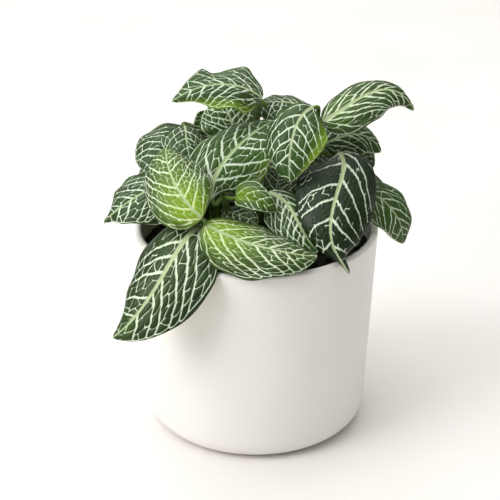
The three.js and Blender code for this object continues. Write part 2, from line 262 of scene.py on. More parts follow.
LEAVES = {
    "front_left": [
        leaf(0.97, ((-27, -43, 129), (-39, -54, 121), (-52.5, -67, 102), (-71.5, -69.5, 80.5)), 50,
             (-97, 38), left=(13, -12), right=(-12, -66), outline=(0.57, 0.88),
             left_half=(25, 0.6, 0.95), right_half=(25, 0.5, 1.0),
             left_veins=(1.15, 0.45), right_veins=(2.9, 0.12), tip_fold=(0, 12),
             bumps=((0.66, -1, -1.6),), fan=0, cell=4.4, open=0.2, vein=1.1,
             lime=0.12, lime_tip=0.12, tone=0.3),
        leaf(1, ((-26, -46, 132), (-8, -53, 126), (12, -59, 123), (30, -60, 123)), 38,
             (-92, 60), left=(0, -50), right=(8, -40), outline=(0.48, 0.8),
             left_veins=(1.5, 0.22), right_veins=(1.7, 0.22),
             hook=(0, -3), cell=3.1, open=0.05, vein=0.95, net=0.85, tone=0.4,
             lime=0.85, lime_tip=0.2),
        leaf(1, ((-27, -48, 136), (-36, -43, 144.5), (-43, -31, 153), (-46, -14, 160)), 37,
             (-105, 50), left=(5, -45), right=(8, -45), outline=(0.42, 0.6),
             left_veins=(1.9, 0.2), right_veins=(1.9, 0.2),
             cell=2.7, open=0.0, vein=1.05, net=0.75, lime=0.95, lime_tip=0.35),
    ],
    "left": [
        leaf(1, ((-42, -14, 143), (-55, -20, 139), (-67, -27, 134), (-79, -29, 124)), 38,
             (-130, 52), left=(10, -40), right=(10, -30), tip_fold=(20, -30), hook=(2, -2),
             outline=(0.5, 0.95), tail=0.5, cell=3.8, vein=1.2, pairs=5),
        leaf(0.7, ((-40, -21, 135), (-46, -26, 134), (-51, -31, 131), (-55, -35, 127)), 23,
             (-110, 50), cell=3.2, pairs=4, fan=1),
        leaf(0.7, ((-36, 4, 134), (-48, 8, 134), (-60, 10, 128), (-70, 8, 117)), 28, (170, 60)),
    ],
    "upper_left": [
        leaf(0.85, ((-30, 17, 149), (-40, 13, 152), (-50, 7, 150), (-57, 1, 141)), 38,
             (-115, 50), left=(0, -45), right=(10, -30), outline=(0.45, 0.5), cell=3.5, fan=1),
        leaf(1, ((-38, 19, 160), (-37, 11, 158), (-36, 3, 154), (-34, -4, 149)), 28,
             (-90, 70), left=(0, -60), outline=(0.5, 0.7), cell=3.2, fan=1, pairs=4),
        leaf(0.85, ((-22, 19, 154), (-25, 21, 158), (-28, 23, 162), (-31, 23, 166)), 18,
             (-90, 40), cell=2.6, pairs=4, fan=1, lime=0.2, lime_tip=0.2),
        leaf(0.55, ((-29, 23, 128), (-40, 25, 128), (-51, 27, 122), (-59, 29, 111)), 26,
             (170, 55)),
    ],
    "centre": [
        leaf(1, ((-22, -30, 139), (-20, -23, 150), (-8, -11, 161), (9, -1, 170)), 44,
             (-88, 45), left=(5, -45), right=(8, -35), outline=(0.4, 0.6), twist=-50,
             left_half=(18.5, 0.4, 0.6),
             left_veins=(2.2, 0.16), right_veins=(2.0, 0.18),
             pairs=5, fan=1, open=0.15, vein=1.3, lime=0.03, edge=(0.0, 0.35), tone=1.2,
             rib=1.05),
        leaf(1, ((-10, -30, 140), (-3, -34, 141), (4, -38, 139), (11, -40, 136)), 18,
             (-90, 50), left=(38, 20), right=(38, 5), outline=(0.5, 1.0),
             hook=(-2, -4), pairs=4, fan=1, cell=3.4, open=0.4, vein=0.85,
             lime=0.7, lime_tip=0.3),
        leaf(0.8, ((-16, -22, 129), (-11, -25, 128), (-5, -28, 127), (0, -32, 125)), 18,
             (-90, 60), pairs=4, fan=1, cell=2.8),
    ],
    "top": [
        leaf(0.5, ((-11, 9, 154), (-12, 13, 161), (-15, 18, 168), (-19, 26, 174)), 34,
             (-90, 40), left=(10, -20), right=(10, -20), outline=(0.8, 0.8),
             fan=1, cell=3.1, vein=1.75, tone=1.1),
        leaf(1, ((3, 0, 181.5), (-10, -2, 189), (-26, -5, 189.8), (-43, -10, 184.5)), 38,
             (-97, 72), left=(5, -55), right=(10, -30), outline=(0.35, 1.05),
             left_half=(15, 0.4, 0.95),
             ripple=0.05, ripples=2, phase=-2.5, tip_fold=(-55, 10), hook=(0, -1),
             bumps=((0.2, 1, 2.6), (0.6, 1, 3.6)), cell=3.7, open=0.1, edge=(0.6, 0.0),
             tone=0.6),
        leaf(0.7, ((0, 18, 166), (4, 30, 167), (10, 43, 161), (16, 54, 150)), 30, (75, 70)),
    ],
    "upper_right": [
        leaf(0.95, ((31, 24, 166), (21, 20, 172), (10, 17, 174), (1, 15, 174)), 30,
             (-60, 70), left=(0, -50), right=(0, -50), left_half=(23, 0.5, 0.45), cell=3.4, fan=1),
        leaf(1, ((29, -3, 178), (21, -14, 174), (17, -24, 163), (17, -30, 148)), 36,
             (-92, 40), left=(10, -30), right=(5, -75), outline=(0.5, 0.75),
             left_veins=(1.9, 0.19), right_veins=(1.9, 0.19), fan=1,
             pairs=5, cell=4.2, open=0.35, lime=0.05, edge=(0.7, 0.0), tone=0.65,
             rib=1.1),
        leaf(1, ((34, -3, 171), (48, -1, 179), (65, 1, 186), (82.4, 2, 175)), 30,
             (-70, 55), left=(15, -80), right=(12, -50), outline=(0.38, 0.78),
             tail=0.35, tip_fold=(-20, -40), hook=(0, -1.5), left_veins=(1.1, 0.35),
             right_veins=(1.1, 0.35), pairs=7, fan=1, cell=3.7, open=0.3, vein=0.9,
             lime=0.25, lime_tip=0.1, rib=1.3),
    ],
    "right": [
        leaf(1, ((35, 6, 154), (45, 8, 158), (56, 10, 158), (66, 10, 150)), 30,
             (-80, 50), left=(0, -45), tip_fold=(-60, 40), hook=(3, 3), fan=1, pairs=5,
             left_veins=(0.9, 0.6), right_veins=(0.9, 0.6), cell=3.8, open=0.45, vein=1.35,
             bumps=((0.75, -1, 3),)),
        leaf(1, ((43, -2, 153), (43, -23, 146), (37, -44, 132), (43, -58, 107)), 47,
             (-85, 35), left=(12, -50), right=(8, -45), outline=(0.4, 1),
             left_half=(23.5, 0.4, 0.66), right_half=(23.5, 0.4, 1.1), tail=0.75,
             left_veins=(1.6, 0.4), right_veins=(2.6, 0.3), tip_fold=(-10, -30), hook=(-5, -4),
             fan=1, cell=3.0, open=0.76, vein=0.95, tone=-0.05, loop=0.12),
        leaf(0.7, ((55, -2, 131), (64, -5, 129), (72.8, -9, 121), (79.2, -12, 105)), 26,
             (-65, 45), fan=1, cell=4.2, open=0.55, vein=0.75,
             lime=0.15, tone=0.85, hook=(0, -3), rib=1.2, right_veins=(1.6, 0.25),
             left_veins=(1.6, 0.25)),
        leaf(0.95, ((44, 12, 148), (50, 13, 146), (56, 12, 144), (62, 9, 140)), 26,
             (-80, 60), cell=3.2, pairs=4, vein=0.8),
    ],
    "front": [
        leaf(1, ((6, -22, 139), (16, -32, 136), (22, -41, 128), (31, -47, 117)), 31,
             (-75, 55), left=(-5, -60), right=(-5, -60), outline=(0.45, 0.85),
             cell=3.3, fan=1, vein=1.4, open=0.15, tone=0.65),
        leaf(0.95, ((8, -18, 132), (11, -8, 138), (12, 3, 140), (12, 13, 137)), 24,
             (-75, 60), cell=2.8, pairs=5),
    ],
    "back_left": [
        leaf(0.95, ((-31, 44, 133), (-38, 58, 126), (-44, 71, 113), (-48, 78, 95)), 38, (115, 45)),
        leaf(1, ((-34, 34, 142), (-46, 34, 142), (-57, 37, 134), (-65, 40, 120)), 32, (160, 55)),
        leaf(1, ((-27, 42, 140), (-25, 54, 140), (-22, 66, 134), (-18, 76, 123)), 30, (95, 60)),
    ],
    "back": [
        leaf(0.97, ((4, 40, 147), (8, 54, 147), (13, 68, 140), (18, 80, 127)), 36, (80, 55)),
        leaf(1, ((-3, 40, 148), (-14, 40, 154), (-26, 42, 152), (-36, 44, 144)), 30, (120, 65)),
        leaf(1, ((10, 36, 150), (22, 34, 156), (34, 36, 155), (45, 42, 146)), 30, (80, 65)),
        leaf(0.65, ((-2, 40, 130), (-3, 52, 128), (-3, 64, 120), (-4, 73, 107)), 34, (95, 50)),
    ],
    "back_right": [
        leaf(0.95, ((40, 38, 131), (50, 47, 129), (58, 58, 119), (63, 67, 103)), 36, (50, 50)),
        leaf(1, ((44, 26, 138), (54, 23, 138), (65, 23, 129), (73, 25, 113)), 30, (20, 55)),
        leaf(1, ((36, 25, 143), (34, 20, 143), (33, 14, 141), (32, 9, 136)), 20, (-80, 60),
             cell=2.8, pairs=4),
        leaf(1, ((34, 38, 136), (33, 50, 137), (34, 63, 131), (36, 75, 119)), 30, (80, 60)),
    ],
}


# Numbers and curves

def unit(v):
    return v / np.linalg.norm(v, axis=-1, keepdims=True)


def smooth(low, high, x):
    share = np.clip((x - low) / (high - low), 0, 1)
    return share * share * (3 - 2 * share)


def direction(azimuth, elevation):
    a, e = math.radians(azimuth), math.radians(elevation)
    return np.array([math.cos(e) * math.cos(a), math.cos(e) * math.sin(a), math.sin(e)])


def rounded(ring):
    return 0.5 * ring + 0.25 * (np.roll(ring, 1) + np.roll(ring, -1))


def running_total(steps):
    return np.concatenate([[0], np.cumsum(steps)])


def added_up(rates):
    """The running total of rates that are given at even steps from 0 to 1."""
    return running_total(rates[:-1] + rates[1:]) / (2 * (len(rates) - 1))


def circle(count):
    """Angles of count points around a circle."""
    return np.linspace(0, 2 * np.pi, count, endpoint=False)


def pairs_around(ring):
    """Each item of a closed ring with the one after it."""
    return zip(ring, ring[1:] + ring[:1])


def distinct(face):
    """A face without a vertex that comes twice in a row."""
    return tuple(v for i, v in enumerate(face) if v != face[i - 1])


class Sweep:
    """A curve through points. power is how much their distances count: 0.5 or 1."""

    def __init__(self, points, power):
        inner = [np.array(p, float) for p in points]
        self.points = [2 * inner[0] - inner[1], *inner, 2 * inner[-1] - inner[-2]]
        self.power = power

    def steps(self, count):
        return [self.at(share) for share in np.linspace(0, 1, count)]

    def at(self, share):
        place = share * (len(self.points) - 3)
        i = min(int(place), len(self.points) - 4)
        a, b, c, d = self.points[i:i + 4]
        chords = (max(np.linalg.norm(v), LEAST_CHORD) for v in (b - a, c - b, d - c))
        x, y, z = (chord ** self.power for chord in chords)
        start = y * ((b - a) / x - (c - a) / (x + y) + (c - b) / y)
        end = y * ((c - b) / y - (d - b) / (y + z) + (d - c) / z)
        w = place - i
        return (
            b + start * w + (3 * c - 3 * b - 2 * start - end) * w * w
            + (2 * b - 2 * c + start + end) * w ** 3
        )


# Blades

class Blade:
    """The middle surface of a blade: s runs from base to tip, t across it from -1 to 1."""

    def __init__(self, look):
        self.look = look
        p = [np.array(q, float) for q in look["midrib"]]
        # Control points of the cubic curve that passes through p at equal shares
        self.hull = (
            p[0], (-5 * p[0] + 18 * p[1] - 9 * p[2] + 2 * p[3]) / 6,
            (2 * p[0] - 9 * p[1] + 18 * p[2] - 5 * p[3]) / 6, p[3],
        )
        self.shares = np.linspace(0, 1, MIDRIB_STEPS)
        steps = np.linalg.norm(np.diff(self.midrib(self.shares), axis=0), axis=1)
        self.reach = running_total(steps)
        self.length = self.reach[-1]
        self.scale = self.length / NET_LENGTH

    def midrib(self, u):
        u = u[:, None]
        a, b, c, d = self.hull
        return (1 - u) ** 3 * a + 3 * (1 - u) ** 2 * u * b + 3 * (1 - u) * u * u * c + u ** 3 * d

    def tangent(self, u):
        u = u[:, None]
        a, b, c, d = self.hull
        return unit((1 - u) ** 2 * (b - a) + 2 * (1 - u) * u * (c - b) + u * u * (d - c))

    def half_width(self, s, sign):
        """Width of one half at s; sign is -1 for the left half and 1 for the right."""
        half, base, tip = self.look["left_half" if sign < 0 else "right_half"]
        widest = base / (base + tip)
        peak = widest ** base * (1 - widest) ** tip
        s = np.clip(s, 0, 1)
        narrowing = 1 - self.look["tail"] * smooth(*TAIL, s)
        return half * s ** base * (1 - s) ** tip / peak * narrowing

    def across(self, x, y):
        """s and t of flat places x along the midrib and y out from it."""
        s = np.clip(x / self.length, 0, 1)
        half = np.where(y < 0, self.half_width(s, -1), self.half_width(s, 1))
        return s, half, np.clip(y / np.maximum(half, SMALL), -1, 1)

    def axes(self, s, u):
        """The directions to the side and up, square to the midrib, with the blade's twist."""
        tangent = self.tangent(u)
        face = np.broadcast_to(direction(*self.look["face"]), tangent.shape)
        turn = (np.radians(self.look["twist"]) * (s - 0.5))[:, None]
        along = (tangent * face).sum(1, keepdims=True)
        face = face * np.cos(turn) + np.cross(tangent, face) * np.sin(turn)
        face = face + tangent * along * (1 - np.cos(turn))
        side = unit(np.cross(tangent, face))
        return side, np.cross(side, tangent)

    def section(self, s, t):
        """The slope of a half at t, and how far out and up it is there for a half width of 1."""
        left, right = self.look["left"], self.look["right"]
        inner = np.radians(np.where(t < 0, left[0], right[0]))
        fold = np.where(t < 0, *self.look["tip_fold"]) * smooth(TIP_START, TIP_FOLDED, s)
        bend = np.radians(np.where(t < 0, left[1], right[1]) + fold) - inner
        slope = inner + bend * np.abs(t)
        out = (np.sin(slope) - np.sin(inner)) / bend
        return slope, out, (np.cos(inner) - np.cos(slope)) / bend

    def waves(self, s, t):
        """How far ripples and bumps lift the blade; both grow towards the margin."""
        look = self.look
        wave = np.sin(2 * np.pi * look["ripples"] * s + look["phase"] + RIPPLE_OFFSET * (t > 0))
        lift = look["ripple"] * look["width"] * np.abs(t) ** 2 * wave * np.sin(np.pi * s)
        for place, half_sign, height in look["bumps"]:
            reach = np.exp(-((s - place) / BUMP_LENGTH) ** 2) * (np.sign(t) == half_sign)
            lift = lift + height * reach * np.abs(t) ** 3
        return lift

    def place(self, x, y):
        """Points and upper normals at flat places x, y."""
        s, half, t = self.across(x, y)
        sign = np.sign(t)
        u = np.interp(s * self.length, self.reach, self.shares)
        side, up = self.axes(s, u)
        slope, out, rise = self.section(s, t)
        points = self.midrib(u) + side * (sign * out * half)[:, None]
        points = points + up * (rise * half + self.waves(s, t))[:, None]
        sideways, upwards = self.look["hook"]
        points = points + (side * sideways + up * upwards) * smooth(TIP_START, 1, s)[:, None] ** 2
        normals = unit(up * np.cos(slope)[:, None] - side * (sign * np.sin(slope))[:, None])
        return points, normals


# The net of veins

def sweep_out(v, slope, bend):
    """How far a side vein has gone out, for a blade of width 1, where it is v further along.

    It leaves the midrib at a slope, and past the bend keeps a small share of it.
    """
    return slope * ((1 - VEIN_DRIFT) * bend * (1 - np.exp(-v / bend)) + VEIN_DRIFT * v)


def steepness(q):
    """Side veins that start at q below 0 all start at the blade's base, ever steeper."""
    return 1 + FAN_SPREAD * np.maximum(-q, 0) / (1 + np.minimum(q, 0))


class VeinMap:
    """Places between the side veins of one half of a blade.

    q says where on the midrib a side vein starts, a runs out along it from midrib to margin
    loop, and b across the strip between two neighbours.
    """

    def __init__(self, blade, sign):
        self.blade, self.sign = blade, sign
        half = "left" if sign < 0 else "right"
        self.width = 2 * blade.look[half + "_half"][0]
        self.course = blade.look[half + "_veins"]
        self.starts = np.linspace(FAN_END, 1, COURSES)
        self.ends = [self.run_to(limit) for limit in (LOOP, LOOP + SCALLOP)]

    def run_to(self, limit):
        """How far along each vein has come where it reaches limit of the half width."""
        first = np.maximum(self.starts, 0)
        low, high = np.zeros(len(first)), 1 - first
        for _ in range(HALVINGS):
            v = (low + high) / 2
            out = steepness(self.starts) * self.width * sweep_out(v, *self.course)
            inside = out < limit * self.blade.half_width(first + v, self.sign)
            low, high = np.where(inside, v, low), np.where(inside, high, v)
        return low

    def place(self, strip, a, b):
        """Flat places x, y of points a, b in a strip; y is positive in both halves."""
        q = strip[0] + (strip[1] - strip[0]) * b
        near, far = (np.interp(q, self.starts, ends) for ends in self.ends)
        v = a * (near + (far - near) * np.sin(np.pi * b))
        x = (np.maximum(q, 0) + v) * self.blade.length
        y = steepness(q) * self.width * sweep_out(v, *self.course)
        sway = VEIN_SWAY * self.blade.scale ** 0.5 * np.sin(np.pi * np.clip(a, 0, 1))
        sway = sway * smooth(0, SWAY_FREE[1], y) * smooth(0, SWAY_FREE[0], x)
        u, w = x + self.blade.look["phase"] + 2 * self.sign, y + self.sign
        forth, out = (np.sin(along * u + across * w) for along, across in SWAY_WAVES)
        return x + sway * forth, y + sway * out

    def outer_end(self, strip, count):
        """Flat places of points along the loop that closes a strip at the margin."""
        return self.place(strip, np.ones(count), np.linspace(0, 1, count))

    def run_and_gap(self, strip, a, b):
        """How long a strip is for each unit of a, and how far apart its side veins are."""
        a0, a1 = np.maximum(a - NUDGE, 0), np.minimum(a + NUDGE, 1)
        b0, b1 = np.maximum(b - NUDGE, 0), np.minimum(b + NUDGE, 1)
        (x0, y0), (x1, y1) = self.place(strip, a0, b), self.place(strip, a1, b)
        (u0, v0), (u1, v1) = self.place(strip, a, b0), self.place(strip, a, b1)
        run = np.hypot(x1 - x0, y1 - y0) + TINY
        gap = np.abs((x1 - x0) * (v1 - v0) - (y1 - y0) * (u1 - u0)) / run / (b1 - b0)
        return run / (a1 - a0), gap


def clip_polygon(polygon, normal, limit):
    kept = []
    for p, q in pairs_around(polygon):
        dp = p[0] * normal[0] + p[1] * normal[1] - limit
        dq = q[0] * normal[0] + q[1] * normal[1] - limit
        if dp <= 0:
            kept.append(p)
        if dp * dq < 0:
            share = dp / (dp - dq)
            kept.append((p[0] + (q[0] - p[0]) * share, p[1] + (q[1] - p[1]) * share))
    return kept


def voronoi(seeds, reach):
    """The cells of a rectangle from 0, 0 to reach, 1 around its seeds, as polygons."""
    cells = []
    for x, y in seeds:
        polygon = [(0, 0), (reach, 0), (reach, 1), (0, 1)]
        for ox, oy in seeds:
            if (ox, oy) != (x, y):
                limit = (ox * ox + oy * oy - x * x - y * y) / 2
                polygon = clip_polygon(polygon, (ox - x, oy - y), limit)
        cells.append(polygon)
    return cells


def side_veins(look, rng, lattice):
    """Where the side veins of a half start, on the midrib's lattice; a fan starts before 0."""
    veins = {FAN_END, 0.0, 1.0}
    for i in range(look["fan"]):
        veins.add(FAN_END * (i + 1) / (look["fan"] + 1) * rng.uniform(*FAN_JITTER))
    for i in range(1, look["pairs"]):
        share = LAST_PAIR * (i + rng.uniform(-PAIR_JITTER, PAIR_JITTER)) / look["pairs"]
        veins.add(round(share * lattice) / lattice)
    return sorted(veins)


def corner_key(point):
    return round(point[0] * CORNER_MATCH), round(point[1] * CORNER_MATCH)


def strengthen(corner, edge, vein):
    """Both corners of an edge are at least as strong as the vein along it."""
    for key in edge:
        corner[key] = max(corner.get(key, 0), vein)


def on_border(p, q):
    return any(abs(p[i] - v) < TINY and abs(q[i] - v) < TINY for i in (0, 1) for v in (0, 1))


def snapped(cell, steps, rungs):
    """Corners on the strip's border move to the points that its neighbours share."""
    corners = []
    for a, b in cell:
        if b < TINY or b > 1 - TINY:
            a, b = round(a * steps) / steps, float(round(b))
        if a < TINY or a > 1 - TINY:
            a, b = float(round(a)), round(b * rungs) / rungs
        corners.append((a, b))
    return [p for i, p in enumerate(corners) if corner_key(p) != corner_key(corners[i - 1])]


def tapering(vein, share):
    """Half width of a vein at a share of its length."""
    base, end, power = vein
    return base + (end - base) * share ** power


class BladeNet:
    """Vertices and faces of one blade, built cell by cell around its veins."""

    def __init__(self, look, seed):
        self.look = look
        self.blade = Blade(look)
        self.rng = random.Random(seed)
        self.flat, self.rise, self.ink = [], [], []
        self.known, self.partner = {}, {}
        self.top, self.under = [], []
        self.lattice = max(LEAST_RUNGS, round(self.blade.length / LATTICE))
        self.steps = max(LEAST_STEPS, round(STEPS_PER_WIDTH * look["width"] / LATTICE))
        self.fine = min(1, self.blade.scale) ** 0.5
        for sign in (-1, 1):
            self.sign, self.map = sign, VeinMap(self.blade, sign)
            veins = side_veins(look, self.rng, self.lattice)
            for strip in zip(veins, veins[1:]):
                self.add_strip(strip)
        self.add_rim()

    def vertex(self, x, y, rise, ink):
        """A point at flat x, y, rise over the middle surface; ink is vein, midrib and shade."""
        self.flat.append((x, y))
        self.rise.append(rise)
        self.ink.append(ink)
        return len(self.flat) - 1

    def shared(self, x, y, rise, drop, ink):
        """A top vertex that neighbours share, with its partner on the underside."""
        key = round(x * VERTEX_MATCH), round(y * VERTEX_MATCH)
        if key not in self.known:
            upper = self.vertex(x, y, rise, ink)
            self.partner[upper] = self.vertex(x, y, drop, ink)
            self.known[key] = upper
        return self.known[key]

    def in_midrib(self, x, y):
        """How much flat places lie in the midrib, from 0 to 1."""
        scale = self.blade.scale * self.look["vein"] * self.look["rib"]
        half = scale * tapering(MIDRIB_VEIN, np.clip(x / self.blade.length, 0, 1))
        return np.clip(0.5 + (half - np.abs(y)) / MIDRIB_EDGE, 0, 1)

    def in_side_vein(self, strip, a, b):
        """How deep points lie in a side vein, in millimetres."""
        half = self.blade.scale * self.look["vein"] * tapering(SIDE_VEIN, a)
        return half - np.minimum(b, 1 - b) * self.map.run_and_gap(strip, a, b)[1]

    def strip_cells(self, strip):
        """Evenly loose cells in a strip, as polygons in its a and b."""
        a = np.linspace(0, 1, STRIP_POINTS)
        run, gap = self.map.run_and_gap(strip, a, np.full(STRIP_POINTS, 0.5))
        gap = np.maximum(gap, LEAST_GAP)
        reach, area = added_up(run / gap), added_up(run * gap)
        count = max(1, round(area[-1] / self.look["cell"] ** 2))
        tries = CANDIDATES * count
        spots_a = np.interp([self.rng.random() * area[-1] for _ in range(tries)], area, a)
        spots_b = np.array([self.rng.uniform(*SEED_ROOM) for _ in range(tries)])
        x, y = self.map.place(strip, spots_a, spots_b)
        gaps = np.full(tries, np.inf)
        seeds = []
        for i in range(count):
            best = int(np.argmax(gaps[:CANDIDATES * (i + 1)])) if i else 0
            seeds.append((float(np.interp(spots_a[best], a, reach)), float(spots_b[best])))
            gaps = np.minimum(gaps, np.hypot(x - x[best], y - y[best]))
        cells = voronoi(seeds, reach[-1])
        return [[(float(np.interp(u, reach, a)), v) for u, v in cell] for cell in cells]

    def add_strip(self, strip):
        if strip[0] >= 0:
            rungs = round((strip[1] - strip[0]) * self.lattice)
        else:
            x, y = self.map.outer_end(strip, FAN_POINTS)
            outer = np.hypot(np.diff(x), np.diff(y)).sum()
            rungs = max(LEAST_FAN_RUNGS, round(outer / LATTICE))
        cells = [snapped(cell, self.steps, rungs) for cell in self.strip_cells(strip)]
        cells = [cell for cell in cells if len(cell) > 2]
        corners = {corner_key(p): p for cell in cells for p in cell}
        x, y = self.map.place(strip, *np.array(list(corners.values())).T)
        places = dict(zip(corners, zip(x, y)))
        strengths = self.vein_strengths(cells)
        for cell in cells:
            self.add_cell(strip, self.cell_border(cell, places, rungs, *strengths))
        self.add_band(strip, rungs)

    def edges_and_corners(self, cells):
        """The edges inside a strip, and how strong the vein is at each corner on its border."""
        inner, corner = set(), {}
        for cell in cells:
            for p, q in pairs_around(cell):
                edge = tuple(sorted((corner_key(p), corner_key(q))))
                if not on_border(p, q):
                    inner.add(edge)
                    continue
                along_midrib = max(p[0], q[0]) < TINY
                vein = MIDRIB_SPUR if along_midrib else self.border_vein(p, q)
                strengthen(corner, edge, vein)
        return inner, corner

    def vein_strengths(self, cells):
        """How strong the vein is on each inner edge and at each corner; open edges have none."""
        inner, corner = self.edges_and_corners(cells)
        strength = dict.fromkeys(inner, 0.0)
        waiting = sorted(inner)
        self.rng.shuffle(waiting)
        reached = True
        while reached:
            reached = [edge for edge in waiting if edge[0] in corner or edge[1] in corner]
            waiting = [edge for edge in waiting if edge not in reached]
            for edge in reached:
                if self.rng.random() >= self.look["open"]:
                    strength[edge] = self.look["net"] * self.rng.uniform(*NET_STRENGTH)
                    strengthen(corner, edge, strength[edge])
        return strength, corner

    def border_vein(self, p, q):
        """How strong the vein is on a strip's border: whole, or a loop's at the margin."""
        return self.look["loop"] if min(p[0], q[0]) > 1 - TINY else 1.0

    def cell_border(self, cell, places, rungs, strength, corner):
        """Points along a cell's border as arrays a, b and the strength of the vein there."""
        points = []
        for p, q in pairs_around(cell):
            ends = corner_key(p), corner_key(q)
            if on_border(p, q):
                count = round(abs(q[0] - p[0]) * self.steps + abs(q[1] - p[1]) * rungs)
                vein = self.border_vein(p, q)
            else:
                length = math.dist(places[ends[0]], places[ends[1]])
                count = math.ceil(length / CELL_STEP - SMALL)
                vein = strength[tuple(sorted(ends))]
            count = max(count, 1)
            for i in range(count):
                f = i / count
                spur = max(
                    corner.get(ends[0], 0) * (1 - SPUR * f),
                    corner.get(ends[1], 0) * (1 - SPUR * (1 - f)),
                )
                points.append((p[0] + (q[0] - p[0]) * f, p[1] + (q[1] - p[1]) * f, max(vein, spur)))
        return np.array(points).T

    def add_cell(self, strip, border):
        a, b, strength = border
        x, y = self.map.place(strip, a, b)
        mid, side = self.in_midrib(x, y), self.in_side_vein(strip, a, b)
        net = NET_VEIN * self.fine * self.look["vein"]
        half = np.maximum(net * np.maximum(strength, mid), side)
        strength = np.maximum(np.where(side > 0, 1.0, np.minimum(strength, 1)), mid)
        y = self.sign * y
        if np.sum(x * np.roll(y, -1) - y * np.roll(x, -1)) > 0:
            x, y, half, strength, mid = (v[::-1] for v in (x, y, half, strength, mid))
        base = BLADE_THICKNESS / 2
        shade = self.rng.uniform(-1, 1)
        ink = [(strength[i], mid[i], shade) for i in range(len(x))]
        sink = OPEN_RISE * PILLOW * self.fine * (1 - strength) - VEIN_DEPTH * strength
        drop = -base - VEIN_DEPTH * strength
        ring = [self.shared(x[i], y[i], base + sink[i], drop[i], ink[i]) for i in range(len(x))]
        self.fill_cell(ring, x, y, half, sink, ink)

    def insets(self, x, y, cx, cy, half):
        """How far a cell's middle is away, and the shares of that way at which a vein's bed and
        then the vein itself end.
        """
        away = np.hypot(cx - x, cy - y) + SMALL
        ex, ey = np.roll(x, -1) - np.roll(x, 1), np.roll(y, -1) - np.roll(y, 1)
        facing = np.abs((cx - x) * ey - (cy - y) * ex) / away / (np.hypot(ex, ey) + SMALL)
        facing = np.clip(facing, LEAST_FACING, 1)
        near = half * VEIN_BED / facing / away
        clear = (half + VEIN_BLUR * self.fine) / facing / away
        return away, np.minimum(near, VEIN_LIMITS[0]), np.minimum(clear, VEIN_LIMITS[1])

    def fill_cell(self, border, x, y, half, sink, ink):
        """Rings from the middle of the veins round a cell up its pillow, and its underside."""
        base, count = BLADE_THICKNESS / 2, len(x)
        cx, cy = x.mean(), y.mean()
        away, near, clear = self.insets(x, y, cx, cy, half)
        pillow = PILLOW * self.fine * min(1, away.mean() / PILLOW_REACH)
        plain = 0.0, 0.0, ink[0][2]
        rings = [border]
        low, middle, high = PILLOW_RISE
        for inset, rise, colours in (
            (near, base + sink * VEIN_SIDE_DEPTH + low * pillow, ink),
            (clear, base + pillow * middle, [plain] * count),
            (clear + (1 - clear) * SHOULDER, base + pillow * high, [plain] * count),
        ):
            rx, ry = rounded(x + (cx - x) * inset), rounded(y + (cy - y) * inset)
            rings.append(self.sunk_ring(rx, ry, rise, colours))
        centre = self.sunk_ring([cx], [cy], base + pillow, [plain])[0]
        below = self.vertex(cx, cy, UNDER_HOLLOW * pillow - base, plain)
        for i in range(count):
            j = (i + 1) % count
            for outer, inner in zip(rings, rings[1:]):
                self.top.append((outer[i], outer[j], inner[j], inner[i]))
            self.top.append((rings[-1][i], rings[-1][j], centre))
            self.under.append((self.partner[border[j]], self.partner[border[i]], below))

    def sunk_ring(self, x, y, rise, ink):
        """Vertices of a cell, sunk and pale where they lie in the midrib."""
        mid = self.in_midrib(np.array(x), np.array(y))
        rise = rise + (BLADE_THICKNESS / 2 - VEIN_DEPTH - rise) * mid
        colours = [(max(vein, m), max(old, m), shade) for (vein, old, shade), m in zip(ink, mid)]
        return [self.vertex(*point) for point in zip(x, y, rise, colours)]

    def add_band(self, strip, rungs):
        """The plain margin outside the loops that join the side veins."""
        blade, base, loop = self.blade, BLADE_THICKNESS / 2, self.look["loop"]
        x, y = self.map.outer_end(strip, rungs + 1)
        s0 = x / blade.length
        half = blade.half_width(s0, self.sign)
        t0 = y / np.maximum(half, TINY)
        s1 = s0 + LOOP_SLIP * s0 * (1 - s0)
        room = np.maximum((1 - t0) * half, LEAST_BAND)
        vein = LOOP_VEIN * self.fine * self.look["vein"]
        near = np.minimum(vein / room, BAND_LIMITS[0])
        clear = np.minimum((vein + VEIN_BLUR * self.fine) / room, BAND_LIMITS[1])
        swell = PILLOW * self.fine * BAND_SWELL
        rows = []
        for share, rise, drop, strength in (
            (0 * near, base - VEIN_DEPTH * loop, -base - VEIN_DEPTH * loop, loop),
            (near, base - VEIN_DEPTH * loop * BAND_DEPTH, -base, loop),
            (clear, base + swell, -base, 0.0),
            (0.5 + clear * 0.5, base + swell, -base, 0.0),
            (0 * near + 1, MARGIN_RISE, -MARGIN_RISE, 0.0),
        ):
            s = s0 + (s1 - s0) * share
            out = (t0 + (1 - t0) * share) * blade.half_width(s, self.sign)
            places = zip(s * blade.length, self.sign * np.where(share > 0, out, y))
            ink = strength, 0.0, 0.0
            rows.append([self.shared(px, py, rise, drop, ink) for px, py in places])
        self.join_rows(rows, rungs)

    def join_rows(self, rows, rungs):
        """Faces between rows of vertices, and the same faces on the underside."""
        for inner, outer in zip(rows, rows[1:]):
            for i in range(rungs):
                quad = (inner[i], outer[i], outer[i + 1], inner[i + 1])
                quad = quad if self.sign > 0 else quad[::-1]
                self.top.append(quad)
                self.under.append(tuple(self.partner[v] for v in quad[::-1]))

    def add_rim(self):
        """Joins the two faces along the blade's outline."""
        sides = set()
        for face in map(distinct, self.top):
            if len(face) > 2:
                sides.update(pairs_around(face))
        for p, q in sorted(sides):
            if (q, p) not in sides:
                self.under.append((q, p, self.partner[p], self.partner[q]))

